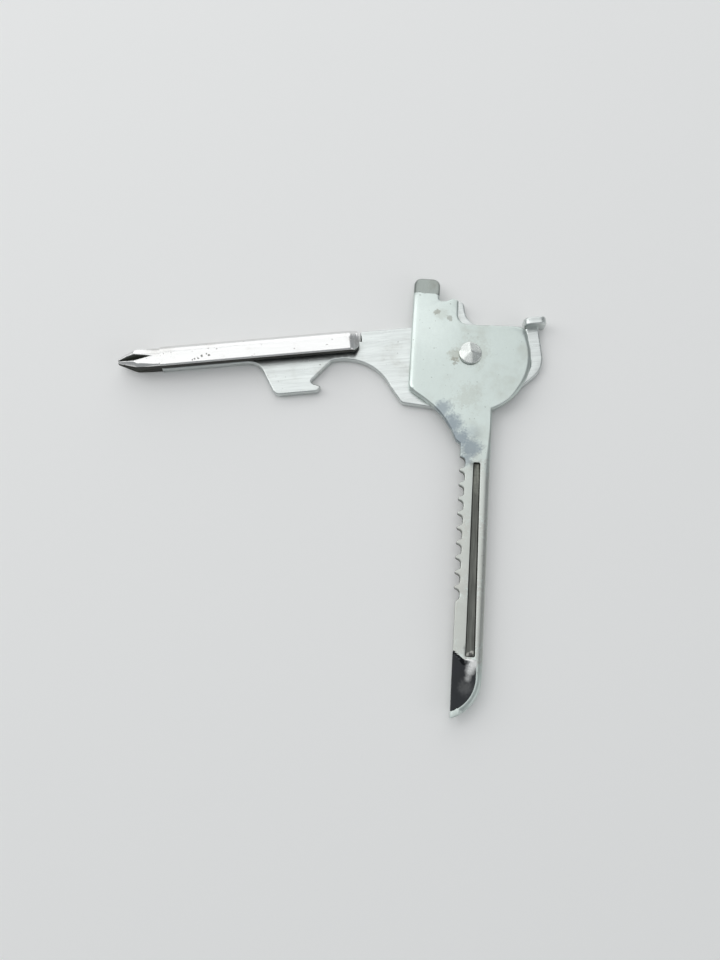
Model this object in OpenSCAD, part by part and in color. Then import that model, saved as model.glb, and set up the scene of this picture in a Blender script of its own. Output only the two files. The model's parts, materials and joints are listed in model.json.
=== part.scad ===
// Key-shaped folding pocket tool, stamped from sheet steel in two leaves that turn on one rivet.
// The key leaf has a part-serrated blade and a flat driver. The driver leaf has a channel folded to a
// cross-head driver, a bottle opener, and a hook that takes a key ring.
// The origin is on the rivet's axis, in the plane of the rear face. The blade points along -Y, the front is +Z.

/* [Leaves] */
// Thickness of the sheet that both leaves are stamped from
leaf_t = 1.2; // [1:0.05:1.3]
// Play between the two leaves
leaf_play = 0.05; // [0.02:0.01:0.08]
// Angle from shut to the pose in which the tool is stored
rest_angle = 80.8; // [0:0.1:180]
// Radius of both heads' round right side
head_r = 9.2; // [8.6:0.1:10]

/* [Key leaf] */
// Height of the head's top edge above the pivot
head_top = 4.7; // [4.2:0.05:5]
// Width of the blade, across its teeth
blade_w = 4.45; // [4.2:0.05:5.2]
// Distance from the pivot line to the blade's back
blade_back = 3.65; // [3.4:0.05:3.65]
// Distance from the pivot to the blade's tip
blade_l = 53.6; // [44.6:0.2:66]
// Radius of the curve from the blade's back to its tip
tip_r = 6.0; // [5:0.1:7.2]

/* [Flat driver] */
// Width of the flat driver tab at the head's top left
tab_w = 3.95; // [3.3:0.05:3.95]
// Distance from the pivot to the flat driver's end
tab_top = 12.1; // [11.2:0.1:14.5]
// Radius of the tab's two corners
tab_corner_r = 1.2; // [0.6:0.1:1.5]
// Length of the slope ground on its end
tab_slope_l = 2.2; // [1.5:0.1:2.6]
// Depth of that slope at the very end
tab_slope_d = 0.5; // [0.2:0.05:0.6]

/* [Serrations] */
// Number of gullets
gullets = 10; // [3:1:10]
// Distance from one gullet to the next
gullet_pitch = 2.16; // [1.8:0.02:2.4]
// Radius of a gullet
gullet_r = 0.7; // [0.5:0.02:0.8]
// Depth of a gullet
gullet_d = 0.65; // [0.5:0.05:0.75]
// Distance from the pivot to the first gullet
gullet_start = 17.0; // [16.4:0.1:18]
// How far the plain edge stands back from the points of the teeth
plain_step = 0.25; // [0.05:0.05:0.4]

/* [Groove] */
// Width of the groove stamped along the blade
groove_w = 1.3; // [0.8:0.05:1.5]
// Depth of the groove
groove_d = 0.45; // [0.2:0.05:0.6]
// Distance from the blade's back to the groove
groove_inset = 1.25; // [0.9:0.05:1.4]
// Distance from the pivot to the groove's near end
groove_start = 16.8; // [15.5:0.1:18]

/* [Blade grind] */
// Length of the ground tip
grind_l = 8.4; // [6:0.1:10]
// Width of the rim left along the blade's back
grind_rim = 0.9; // [0.6:0.05:1.2]
// Depth of the front grind at the cutting edge
grind_d = 0.7; // [0.4:0.05:0.7]
// Depth of the slope ground on the rear of the whole edge
rear_grind_d = 0.4; // [0.2:0.05:0.4]
// Width of that slope
rear_grind_w = 1.1; // [0.6:0.1:1.5]

/* [Driver leaf] */
// Distance from the pivot line to the outside of the fold
fold_x = 5.6; // [5.2:0.1:6.4]
// Width of the folded channel
channel_w = 3.53; // [3.3:0.01:3.7]
// Height of the channel, from rear face to front face
channel_h = 3.2; // [3.1:0.05:3.8]
// Distance from the pivot to the near end of the fold
channel_start = 16.5; // [16:0.1:18]
// Length of the corner cut off the fold's free edge there
flange_cut = 0.75; // [0.3:0.05:1.2]
// Width of the relief slot between the neck and the fold
relief_w = 0.35; // [0.2:0.05:0.6]
// Distance from the pivot to the point of the cross-head driver
driver_l = 52.95; // [44.2:0.05:63.6]

/* [Cross-head tip] */
// Width of the tip's square section
tip_w = 3.2; // [2.9:0.1:3.4]
// Length of the solid tip
tip_l = 6.45; // [5.6:0.05:7.5]
// Radius of the flat at the point
point_r = 0.45; // [0.3:0.05:0.6]
// Slope of the point's cone from its axis
cone_angle = 26.5; // [24:0.5:30]
// Length of the four flutes
flute_l = 5.35; // [4.4:0.05:5.5]
// Thickness left between opposite flutes at the point
web_t = 0.7; // [0.5:0.05:1]

/* [Bottle opener] */
// Radius of the arc that clears a bottle's cap
cap_r = 7.6; // [7:0.1:7.9]
// Distance from the pivot to the middle of that arc
cap_y = 19.6; // [19.2:0.1:20]
// Distance from the pivot line to the middle of that arc
cap_x = 6.2; // [5.9:0.1:6.5]
// Width of the claw that catches under a cap's rim
claw_w = 0.6; // [0.4:0.05:0.8]
// Depth of the throat beside the claw
throat_d = 2.05; // [1.4:0.05:2.2]
// Distance from the pivot line to the opener's outer edge
opener_x = 3.35; // [3.1:0.05:4]
// Distance from the pivot to the claw's point
claw_y = 22.75; // [22.4:0.05:23.2]
// Length of the opener's outer edge
opener_l = 7.1; // [5.8:0.1:8.6]

/* [Key-ring hook] */
// How far the hook stands out past the round heads
hook_out = 1.9; // [1.7:0.1:3]
// Width of the hook's strip
hook_w = 2.0; // [1.7:0.05:2.1]
// Width of the tab bent up at the hook's end
bent_w = 3.4; // [2.8:0.1:4.1]
// Height of the bent tab above the rear face
bent_h = 2.9; // [2.6:0.1:3.6]
// Gap between the bent tab and what it stops against
stop_gap = 0.1; // [0.05:0.05:0.3]

/* [Rivet] */
// Radius of the rivet's shank
shank_r = 1.2; // [1:0.05:1.4]
// Radius of the rivet's head
rivet_head_r = 1.7; // [1.6:0.05:2.2]
// Height of the rivet's head
rivet_head_h = 0.9; // [0.7:0.05:1.3]
// Radius of the flush tail in the rear face
tail_r = 1.9; // [1.7:0.05:2.3]
// Depth of the tail
tail_d = 0.7; // [0.5:0.05:0.8]
// Running clearance round the shank and the tail
running = 0.04; // [0.02:0.01:0.08]

/* [Hidden] */
$fn = 64;
over = 1;
steel = "gainsboro";
dull_steel = "silver";
bright_steel = "whitesmoke";

// Levels of the key leaf
key_z = leaf_t + leaf_play;
key_top = key_z + leaf_t;

// The bent tab stops against the shank when open and against the flat driver when shut
bent_right = -blade_back - stop_gap;
bent_left = bent_right - leaf_t;
tab_right = bent_left - stop_gap;

// Key leaf, with its blade along -Y
head_left = tab_w - tab_right;
teeth_x = blade_back - blade_w;
plain_x = teeth_x + plain_step;
step_y = gullet_r + 2.2 - gullet_start;
teeth_end = -gullet_start - (gullets - 0.5) * gullet_pitch;
shank_top = -sqrt(pow(head_r, 2) - pow(blade_back, 2));
groove_end = grind_l - blade_l;
groove_right = blade_back - groove_inset;
bump = [bent_right + 0.65, head_r - 0.3];
valley = [bent_right - 0.2, bump.y - 0.5];
notch_x = -2.1;
// The top edge rises to the right, and meets the round side at this angle
top_rise = 0.35;
head_turn = 18;
flank = [-3.15, -9.75];
// The tip's curve meets the plain edge at the full length
tip_x = blade_back - tip_r;
tip_y = sqrt(pow(tip_r, 2) - pow(plain_x - tip_x, 2)) - blade_l;

// Driver leaf, with its channel along -Y, as when shut
fold_r = channel_h / 2;
fold_inner_r = fold_r - leaf_t;
bend_x = fold_r - fold_x;
mouth_x = channel_w - fold_x;
wall_x = mouth_x - 0.12;
neck_r = 1.5;
bent_y = bump.y - 0.1;
hook_top = head_r + hook_out;
// The eye takes the key ring, and its mouth is beside the bent tab
eye_low = head_top - 0.05;
eye_high = hook_top - hook_w;
eye_r = (eye_high - eye_low) / 2;
eye_end = 1.5;
horn_y = 0.2;
// The hook's outer edge runs down a slope from the first point to the second
arch_slope = 55.4;
arch = [2.9, hook_top];
arch_foot = [arch.x + (arch.y - 2.6) / tan(arch_slope), 2.6];
shoulder = [head_r - 1.75, -6.6];
shoulder_foot = [head_r - 2.85, -11];
throat = [1.9, -claw_y - throat_d];
opener_end = -claw_y - opener_l;
channel_end = driver_l - tip_l;
axis_x = (mouth_x - fold_x) / 2;
flute_slope = 0.72;

function unit(v) = v / norm(v);

// The round stretch that replaces corner b, where a corner is [x, y, radius]
function round_corner(a, b, c) =
    let (p = [b.x, b.y],
         u = unit([a.x, a.y] - p),
         v = unit([c.x, c.y] - p),
         half = acos(u * v) / 2,
         centre = p + unit(u + v) * b.z / sin(half),
         start = p + u * b.z / tan(half) - centre,
         end = p + v * b.z / tan(half) - centre,
         a0 = atan2(start.y, start.x),
         turn = (atan2(end.y, end.x) - a0 + 540) % 360 - 180,
         n = max(2, ceil(abs(turn) * sqrt(b.z) / 10)))
    [for (k = [0 : n]) centre + b.z * [cos(a0 + turn * k / n), sin(a0 + turn * k / n)]];

// A closed outline through corners, where radius 0 is a sharp corner
function rounded(corners) =
    let (n = len(corners))
    [for (i = [0 : n - 1])
        each corners[i].z == 0
            ? [[corners[i].x, corners[i].y]]
            : round_corner(corners[(i + n - 1) % n], corners[i], corners[(i + 1) % n])];

// Sharp corners along an arc
function arc(x, y, r, from, to, n = 12) =
    [for (k = [0 : n])
        let (a = from + (to - from) * k / n)
        [x + r * cos(a), y + r * sin(a), 0]];

// Where the tangent of the round head at an angle meets a level
function tangent_x(angle, level) = (head_r - level * sin(angle)) / cos(angle);

// A box from one corner to the opposite one
module block(low, high) {
    translate(low) cube(high - low);
}

// An outline in x and z, drawn out along the leaf between two distances from the pivot
module along(near, far) {
    translate([0, -near, 0]) rotate([90, 0, 0]) linear_extrude(far - near) children();
}

// ---- Key leaf

// Flat driver, valley, bump and notch at the top, head, shank and blade
module key_outline() {
    arc_low = -acos(blade_back / head_r);
    polygon(rounded(concat([
        [-head_left, tab_top, tab_corner_r],
        [-head_left, -5.9, 1.2],
        [flank.x, flank.y, 13],
        [teeth_x - 0.7, step_y + 0.5, 0.3],
        [teeth_x, step_y, 0.3],
        [teeth_x, teeth_end, 0],
        [plain_x, teeth_end - plain_step, 0],
    ], arc(tip_x, tip_y, tip_r, -acos((plain_x - tip_x) / tip_r), 0), [
    ], arc(0, 0, head_r, arc_low, head_turn, 20), [
        [tangent_x(head_turn, head_top + top_rise), head_top + top_rise, 1.2],
        [notch_x, head_top, 1.6],
        [notch_x, bump.y - 0.25, 0.45],
        [bump.x, bump.y, 0.6],
        [valley.x, valley.y, 0.9],
        [tab_right, valley.y - 0.1, 0.4],
        [tab_right, tab_top, tab_corner_r],
    ])));
}

module gullet_cuts() {
    for (i = [0 : gullets - 1])
        translate([teeth_x + gullet_d - gullet_r, -gullet_start - i * gullet_pitch, key_z - over])
            cylinder(r = gullet_r, h = leaf_t + 2 * over, $fn = 32);
}

// The slope ground on the flat driver's end
module tab_slope() {
    translate([0, tab_top - tab_slope_l, key_top])
        rotate([-atan(tab_slope_d / tab_slope_l), 0, 0])
            block([-head_left - over, 0, 0], [tab_right + over / 2, 2 * tab_slope_l, leaf_t]);
}

// The blind groove beside the blade's back, with a sloped far end
module groove() {
    translate([groove_right - groove_w, 0, 0]) rotate([90, 0, 90]) linear_extrude(groove_w)
        polygon([
            [-groove_start, key_top + over],
            [-groove_start, key_top - groove_d],
            [groove_end, key_top - groove_d],
            [groove_end - groove_d, key_top],
            [groove_end - groove_d, key_top + over],
        ]);
}

// The slope ground on the front of the tip, inside a rim along the back
module tip_grind() {
    slope_w = blade_back - grind_rim - plain_x;
    intersection() {
        translate([blade_back - grind_rim, 0, key_top])
            rotate([0, -atan(grind_d / slope_w), 0])
                block([-2 * slope_w, -blade_l - over, 0], [0, groove_end + 2, leaf_t]);
        translate([0, 0, key_z]) linear_extrude(leaf_t + over)
            polygon([for (p = concat(
                [[plain_x - over, groove_end + 1.2, 0], [plain_x - over, -blade_l - over, 0]],
                arc(tip_x, tip_y, tip_r - grind_rim, -70, 0),
                [[blade_back - grind_rim, groove_end - groove_d - 0.2, 0], [groove_right - groove_w, groove_end - 0.6, 0]]
            )) [p.x, p.y]]);
    }
}

// The slope ground on the rear of the whole cutting edge
module rear_grind() {
    translate([teeth_x, 0, key_z + rear_grind_d])
        rotate([0, atan(rear_grind_d / rear_grind_w), 0])
            block([-over, -blade_l - over, -leaf_t], [2 * rear_grind_w, -gullet_start + gullet_r, 0]);
}

module key_leaf() {
    color(steel) difference() {
        translate([0, 0, key_z]) linear_extrude(leaf_t) key_outline();
        translate([0, 0, key_z - over]) cylinder(r = shank_r + running, h = leaf_t + 2 * over);
        gullet_cuts();
        tab_slope();
        groove();
        tip_grind();
        rear_grind();
    }
}

// ---- Driver leaf

// Neck, horn, key-ring hook, head, opener and the channel's rear wall
module driver_outline() {
    neck_turn = 180 + acos((fold_x + 0.4) / head_r);
    polygon(rounded(concat([
        [bend_x, -channel_end, 0],
        [bend_x, relief_w - channel_start, 0],
        [-fold_x, relief_w - channel_start, 0],
        [-fold_x, -8.4, neck_r],
    ], arc(0, 0, head_r, neck_turn, 186), [
        [-head_r, horn_y, 0.8],
        [bent_left, horn_y + 0.15, 2.4],
        [bent_left, eye_low, 0.6],
    ], arc(eye_end, eye_low + eye_r, eye_r, -90, 90), [
        [bent_right, eye_high, 0],
        [bent_right, hook_top, 0],
        [arch.x, arch.y, 4],
        [arch_foot.x, arch_foot.y, 3],
    ], arc(0, 0, head_r, 5, -24), [
        [shoulder.x, shoulder.y, 1.5],
        [shoulder_foot.x, shoulder_foot.y, 0.9],
    ], arc(cap_x, -cap_y, cap_r, 110, 190, 20), [
        [throat.x, throat.y, 0.4],
        [opener_x - claw_w, -claw_y, 0.25],
        [opener_x, -claw_y - 0.1, 0.3],
        [opener_x, opener_end, 1.1],
        [wall_x, opener_end - 2.1, 2.6],
        [wall_x, -channel_end, 0],
    ])));
}

// The full-round fold and the flange over the rear wall, with one corner cut off
module fold() {
    difference() {
        along(channel_start, channel_end) {
            difference() {
                union() {
                    translate([bend_x, fold_r]) circle(r = fold_r);
                    translate([bend_x, channel_h - leaf_t]) square([mouth_x - bend_x, leaf_t]);
                    translate([bend_x, 0]) square([0.2, leaf_t]);
                }
                translate([bend_x, fold_r]) circle(r = fold_inner_r, $fn = 32);
                translate([bend_x, leaf_t]) square([channel_w, channel_h - 2 * leaf_t]);
            }
        }
        translate([mouth_x, -channel_start, leaf_t]) rotate([0, 0, 45])
            translate([0, 0, channel_h / 2]) cube([2 * flange_cut, sqrt(2) * flange_cut, channel_h], center = true);
    }
}

// One flute, a vee cut into the tip's +Z face that deepens towards the point
module flute() {
    depth = (tip_w - web_t) / 2;
    translate([0, flute_l, tip_w / 2])
        rotate([atan(depth / flute_l), 0, 0])
            along(-over, 2 * flute_l)
                polygon([[0, 0], [flute_slope * tip_w, tip_w], [-flute_slope * tip_w, tip_w]]);
}

// The cross-head tip, with its point at the origin and its shank along +Y
module cross_tip() {
    cone_l = tip_w / tan(cone_angle);
    difference() {
        intersection() {
            block([-tip_w / 2, 0, -tip_w / 2], [tip_w / 2, tip_l, tip_w / 2]);
            rotate([-90, 0, 0]) union() {
                cylinder(r1 = point_r, r2 = point_r + tip_w, h = cone_l);
                translate([0, 0, cone_l]) cylinder(r = point_r + tip_w, h = tip_l);
            }
        }
        for (turn = [0 : 90 : 270]) rotate([0, turn, 0]) flute();
    }
}

// The tab bent up at the hook's end, round on the outside of its bend
module bent_tab() {
    along(-bent_y - bent_w, -bent_y)
        polygon(rounded([
            [bent_left, 0, leaf_t - 0.1],
            [bent_left, bent_h, 0.2],
            [bent_right, bent_h, 0.2],
            [bent_right, 0, 0],
        ]));
}

// The leaf with its channel along -Y
module shut_driver_leaf() {
    difference() {
        linear_extrude(leaf_t) driver_outline();
        translate([0, 0, -over]) cylinder(r = shank_r + running, h = leaf_t + 2 * over);
        cylinder(r1 = tail_r + running, r2 = shank_r + running, h = tail_d);
    }
    fold();
    translate([axis_x, -driver_l, channel_h / 2]) cross_tip();
    bent_tab();
}

module driver_leaf() {
    color(dull_steel) rotate([0, 0, -rest_angle]) shut_driver_leaf();
}

// ---- Rivet

// Flush tail, shank, and a head with a rim and a low cone
module pivot_rivet() {
    under = key_top + leaf_play / 2;
    top = under + rivet_head_h;
    color(bright_steel) rotate_extrude()
        polygon([
            [0, 0],
            [tail_r, 0],
            [shank_r, tail_d],
            [shank_r, under],
            [rivet_head_r, under],
            [rivet_head_r, under + rivet_head_h * 0.35],
            [rivet_head_r * 0.45, top],
            [0, top],
        ]);
}

key_leaf();
driver_leaf();
pivot_rivet();
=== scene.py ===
"""Finish of a key-shaped folding pocket tool: two stamped steel leaves on one rivet."""

import json
import logging
import math
from collections.abc import Callable, Sequence
from dataclasses import dataclass, field
from enum import Enum

import bpy
from mathutils import Matrix, Vector
from mathutils.geometry import delaunay_2d_cdt


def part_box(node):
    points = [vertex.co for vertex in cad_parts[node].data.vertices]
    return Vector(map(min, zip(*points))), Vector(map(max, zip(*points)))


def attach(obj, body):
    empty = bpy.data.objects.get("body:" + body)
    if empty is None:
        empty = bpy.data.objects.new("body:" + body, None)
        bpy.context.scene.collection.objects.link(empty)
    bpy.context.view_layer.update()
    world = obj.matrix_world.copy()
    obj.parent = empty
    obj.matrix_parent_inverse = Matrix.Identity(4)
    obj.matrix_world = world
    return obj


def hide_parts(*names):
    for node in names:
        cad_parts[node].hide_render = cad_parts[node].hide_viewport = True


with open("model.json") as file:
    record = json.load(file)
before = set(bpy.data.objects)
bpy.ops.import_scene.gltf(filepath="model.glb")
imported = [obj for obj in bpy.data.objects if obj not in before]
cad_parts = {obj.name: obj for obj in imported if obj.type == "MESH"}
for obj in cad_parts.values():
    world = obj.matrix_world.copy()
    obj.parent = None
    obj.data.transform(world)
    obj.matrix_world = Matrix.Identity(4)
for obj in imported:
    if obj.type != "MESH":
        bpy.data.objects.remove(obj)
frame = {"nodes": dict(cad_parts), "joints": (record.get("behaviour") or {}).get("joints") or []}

MM = 0.001
TINY = 1e-6
WELD_DIGITS = 5
INSIDE_WITH_HOLES = 2  # delaunay_2d_cdt's output type: faces inside the outlines, with holes
CREASE_ANGLE = 38.0
NORMAL_WEIGHT = 90
LEAF_GAP = 0.05
RIVET_GAP = 0.025
TOOL_MIDDLE = (-0.015, -0.02, 0.0)
log = logging.getLogger("tool")

Point = tuple[float, float]
Corner = tuple[float, float, float]
Colour = tuple[float, float, float]


def smooth_step(low: float, high: float, value: float) -> float:
    """Rise smoothly from 0 at low to 1 at high.

    Args:
        low: Value at which the rise starts.
        high: Value at which it ends.
        value: Value to place on the rise.

    Returns:
        A share from 0 to 1.
    """
    share = min(1.0, max(0.0, (value - low) / (high - low)))
    return share * share * (3.0 - 2.0 * share)


def round_over(share: float) -> float:
    """Drop of a quarter-round edge, 1 at its outside and 0 where it meets the face."""
    return 1.0 - math.sqrt(max(0.0, 1.0 - (1.0 - share) ** 2))


def arc(centre: Point, radius: float, start: float, end: float, count: int = 24) -> list[Corner]:
    """List sharp corners along an arc.

    Args:
        centre: Centre of the arc.
        radius: Its radius.
        start: Angle of its first point, in degrees.
        end: Angle of its last point.
        count: Number of steps.

    Returns:
        Corners of radius 0.
    """
    angles = [math.radians(start + (end - start) * k / count) for k in range(count + 1)]
    return [(centre[0] + radius * math.cos(a), centre[1] + radius * math.sin(a), 0.0) for a in angles]


def circle(radius: float, count: int = 48) -> list[Point]:
    """Points round a circle about the rivet's axis, each once."""
    return [(x, y) for x, y, _ in arc((0.0, 0.0), radius, 0.0, 360.0, count)[:-1]]


@dataclass
class Outline:
    """A closed outline, run anticlockwise, in millimetres."""

    points: list[Point]

    @classmethod
    def from_corners(cls, corners: Sequence[Corner], step: float = 9.0) -> "Outline":
        """Replace each corner that has a radius with a round stretch.

        Args:
            corners: Corners as x, y and radius.
            step: Turn between points of a round stretch, in degrees.

        Returns:
            The outline, turned to run anticlockwise.
        """
        points: list[Point] = []
        for i, (x, y, radius) in enumerate(corners):
            here = Vector((x, y))
            if radius == 0.0:
                points.append((x, y))
                continue
            back = (Vector(corners[i - 1][:2]) - here).normalized()
            ahead = (Vector(corners[(i + 1) % len(corners)][:2]) - here).normalized()
            half = math.acos(max(-1.0, min(1.0, back.dot(ahead)))) / 2.0
            centre = here + (back + ahead).normalized() * radius / math.sin(half)
            first = here + back * radius / math.tan(half) - centre
            last = here + ahead * radius / math.tan(half) - centre
            turn = math.atan2(first.x * last.y - first.y * last.x, first.dot(last))
            count = max(3, math.ceil(abs(math.degrees(turn)) / step))
            for k in range(count + 1):
                spoke = Matrix.Rotation(turn * k / count, 2) @ first
                points.append(tuple(centre + spoke))
        outline = cls(points)
        if outline.area() < 0.0:
            outline.points.reverse()
        return outline

    def area(self) -> float:
        """Signed area, positive when the outline runs anticlockwise."""
        pairs = zip(self.points, self.points[1:] + self.points[:1])
        return sum(a[0] * b[1] - b[0] * a[1] for a, b in pairs) / 2.0

    def split(self, longest: float) -> "Outline":
        """Divide edges longer than a limit.

        Args:
            longest: Greatest edge length.

        Returns:
            The outline with more points.
        """
        points: list[Point] = []
        for a, b in zip(self.points, self.points[1:] + self.points[:1]):
            count = max(1, math.ceil(math.dist(a, b) / longest))
            for k in range(count):
                points.append((a[0] + (b[0] - a[0]) * k / count, a[1] + (b[1] - a[1]) * k / count))
        return Outline(points)

    def inset(self, depth: Callable[[Point], float]) -> list[Point]:
        """Move every point inwards along its mitre.

        Args:
            depth: Distance to move a point, from its place.

        Returns:
            The moved points, in the same order.
        """
        moved: list[Point] = []
        count = len(self.points)
        for i, (x, y) in enumerate(self.points):
            before = Vector((x, y)) - Vector(self.points[i - 1])
            after = Vector(self.points[(i + 1) % count]) - Vector((x, y))
            normals = [Vector((-v.y, v.x)).normalized() for v in (before, after)]
            bisector = normals[0] + normals[1]
            if bisector.length < TINY:
                bisector = normals[0].copy()
            bisector.normalize()
            reach = depth((x, y)) / max(0.6, bisector.dot(normals[0]))
            moved.append((x + bisector.x * reach, y + bisector.y * reach))
        return moved

    def holds(self, point: Point, margin: float = 0.0) -> bool:
        """Tell whether a point lies inside, and further than a margin from every edge.

        Args:
            point: The point.
            margin: Least distance from the outline.

        Returns:
            True when it does.
        """
        x, y = point
        inside = False
        for (ax, ay), (bx, by) in zip(self.points, self.points[1:] + self.points[:1]):
            if (ay > y) != (by > y) and x < (bx - ax) * (y - ay) / (by - ay) + ax:
                inside = not inside
            if margin > 0.0:
                edge = Vector((bx - ax, by - ay))
                share = Vector((x - ax, y - ay)).dot(edge) / max(1e-12, edge.length_squared)
                share = min(1.0, max(0.0, share))
                if math.dist(point, (ax + edge.x * share, ay + edge.y * share)) < margin:
                    return False
        return inside


@dataclass
class Mesh:
    """Vertices, faces and the finish of each face, gathered in millimetres."""

    verts: list[Vector] = field(default_factory=list)
    faces: list[tuple[int, ...]] = field(default_factory=list)
    finish: list[int] = field(default_factory=list)

    def ring(self, points: Sequence[Sequence[float]]) -> list[int]:
        """Add vertices.

        Args:
            points: Their places.

        Returns:
            Their numbers.
        """
        start = len(self.verts)
        self.verts.extend(Vector(p) for p in points)
        return list(range(start, len(self.verts)))

    def bridge(self, lower: Sequence[int], upper: Sequence[int], finish: int = 0, close: bool = True) -> None:
        """Join two rings of the same length with four-sided faces.

        Args:
            lower: First ring.
            upper: Second ring, on the side the faces' fronts are to the left of.
            finish: Finish of the faces.
            close: Whether the rings are closed.
        """
        count = len(lower)
        for i in range(count if close else count - 1):
            j = (i + 1) % count
            self.faces.append((lower[i], lower[j], upper[j], upper[i]))
            self.finish.append(finish)

    def cap(self, ring: Sequence[int], finish: int = 0, flip: bool = False) -> None:
        """Close a ring with one face."""
        self.faces.append(tuple(reversed(ring)) if flip else tuple(ring))
        self.finish.append(finish)

    def _anticlockwise(self, ring: Sequence[int]) -> Sequence[int]:
        """Turn a ring so that it runs anticlockwise.

        Args:
            ring: The ring.

        Returns:
            The ring, or its reverse.
        """
        spots = [self.verts[n] for n in ring]
        area = sum(a.x * b.y - b.x * a.y for a, b in zip(spots, [*spots[1:], spots[0]]))
        return ring if area > 0.0 else ring[::-1]

    def _fills(self, order: dict[int, int], corners: Sequence[int]) -> bool:
        """Tell whether a triangle fills a hole: all on its ring, and turning the ring's way.

        Args:
            order: Each of the ring's vertices and its number round the ring, anticlockwise.
            corners: The triangle's vertices.

        Returns:
            True if the triangle is inside the hole.
        """
        if any(n not in order for n in corners):
            return False
        first, second, third = (self.verts[n] for n in sorted(corners, key=order.__getitem__))
        along, across = second - first, third - first
        return along.x * across.y - along.y * across.x > 0.0

    def skin(
        self,
        rim: Sequence[int],
        holes: Sequence[Sequence[int]],
        loose: Sequence[Point],
        height: Callable[[Point], float],
        up: bool,
        finish: Callable[[Vector], int],
    ) -> None:
        """Fill the space inside a rim and outside its holes with triangles.

        Args:
            rim: Ring round the space.
            holes: Rings round its holes.
            loose: Extra points inside the space.
            height: Height of an extra point, from its place.
            up: Whether the fronts face up.
            finish: Finish of a triangle, from its middle.
        """
        rings = [list(rim), *[list(h) for h in holes]]
        fixed = [n for ring in rings for n in ring]
        extra = self.ring([(x, y, height((x, y))) for x, y in loose])
        numbers = fixed + extra
        flat = [Vector(self.verts[n][:2]) for n in numbers]
        edges: list[tuple[int, int]] = []
        start = 0
        for ring in rings:
            edges += [(start + i, start + (i + 1) % len(ring)) for i in range(len(ring))]
            start += len(ring)
        verts, _, faces, origin, _, _ = delaunay_2d_cdt(flat, edges, [], INSIDE_WITH_HOLES, TINY)
        place = [numbers[source[0]] if source else None for source in origin]
        holes_order = [{n: k for k, n in enumerate(self._anticlockwise(ring))} for ring in holes]
        for face in faces:
            corners = [place[v] for v in face]
            if None in corners:
                raise ValueError("an outline crosses itself")
            if any(self._fills(order, corners) for order in holes_order):
                continue
            turn = (verts[face[1]] - verts[face[0]]).cross(verts[face[2]] - verts[face[0]])
            if (turn > 0.0) != up:
                corners.reverse()
            self.faces.append(tuple(corners))
            centre = sum((self.verts[n] for n in corners), Vector()) / len(corners)
            self.finish.append(finish(centre))

    def weld(self) -> "Mesh":
        """Join vertices at the same place, and drop the faces that close up.

        Returns:
            The mesh itself.
        """
        first: dict[tuple[float, ...], int] = {}
        places = [tuple(round(c, WELD_DIGITS) for c in v) for v in self.verts]
        joined = [first.setdefault(place, n) for n, place in enumerate(places)]
        faces = [tuple(dict.fromkeys(joined[n] for n in face)) for face in self.faces]
        self.finish = [finish for face, finish in zip(faces, self.finish) if len(face) > 2]
        faces = [face for face in faces if len(face) > 2]
        kept = sorted({n for face in faces for n in face})
        number = {n: k for k, n in enumerate(kept)}
        self.verts = [self.verts[n] for n in kept]
        self.faces = [tuple(number[n] for n in face) for face in faces]
        return self

    def move(self, warp: Callable[[Vector], Vector]) -> "Mesh":
        """Pass every vertex through a function."""
        self.verts = [warp(v) for v in self.verts]
        return self

    def add(self, other: "Mesh") -> None:
        """Take in another mesh's vertices and faces.

        Args:
            other: The other mesh, which stays as it is.
        """
        shift = len(self.verts)
        self.verts += other.verts
        self.faces += [tuple(n + shift for n in face) for face in other.faces]
        self.finish += other.finish

    def build(self, name: str, finishes: Sequence[bpy.types.Material]) -> bpy.types.Object:
        """Make the object, smooth except at creases.

        Args:
            name: Name of the piece.
            finishes: Materials, in the order of the faces' finish numbers.

        Returns:
            The object, in the scene.
        """
        mesh = bpy.data.meshes.new(name)
        mesh.from_pydata([v * MM for v in self.verts], [], self.faces)
        for material in finishes:
            mesh.materials.append(material)
        mesh.polygons.foreach_set("material_index", self.finish)
        mesh.validate()
        mesh.shade_smooth()
        mesh.set_sharp_from_angle(angle=math.radians(CREASE_ANGLE))
        piece = bpy.data.objects.new(name, mesh)
        bpy.context.scene.collection.objects.link(piece)
        weigh = piece.modifiers.new("even_faces", "WEIGHTED_NORMAL")
        weigh.keep_sharp = True
        weigh.weight = NORMAL_WEIGHT
        return piece


@dataclass
class EdgeRound:
    """How wide and how deep an edge is rounded at a point."""

    width: Callable[[Point], float]
    drop: Callable[[Point], float]


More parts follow.
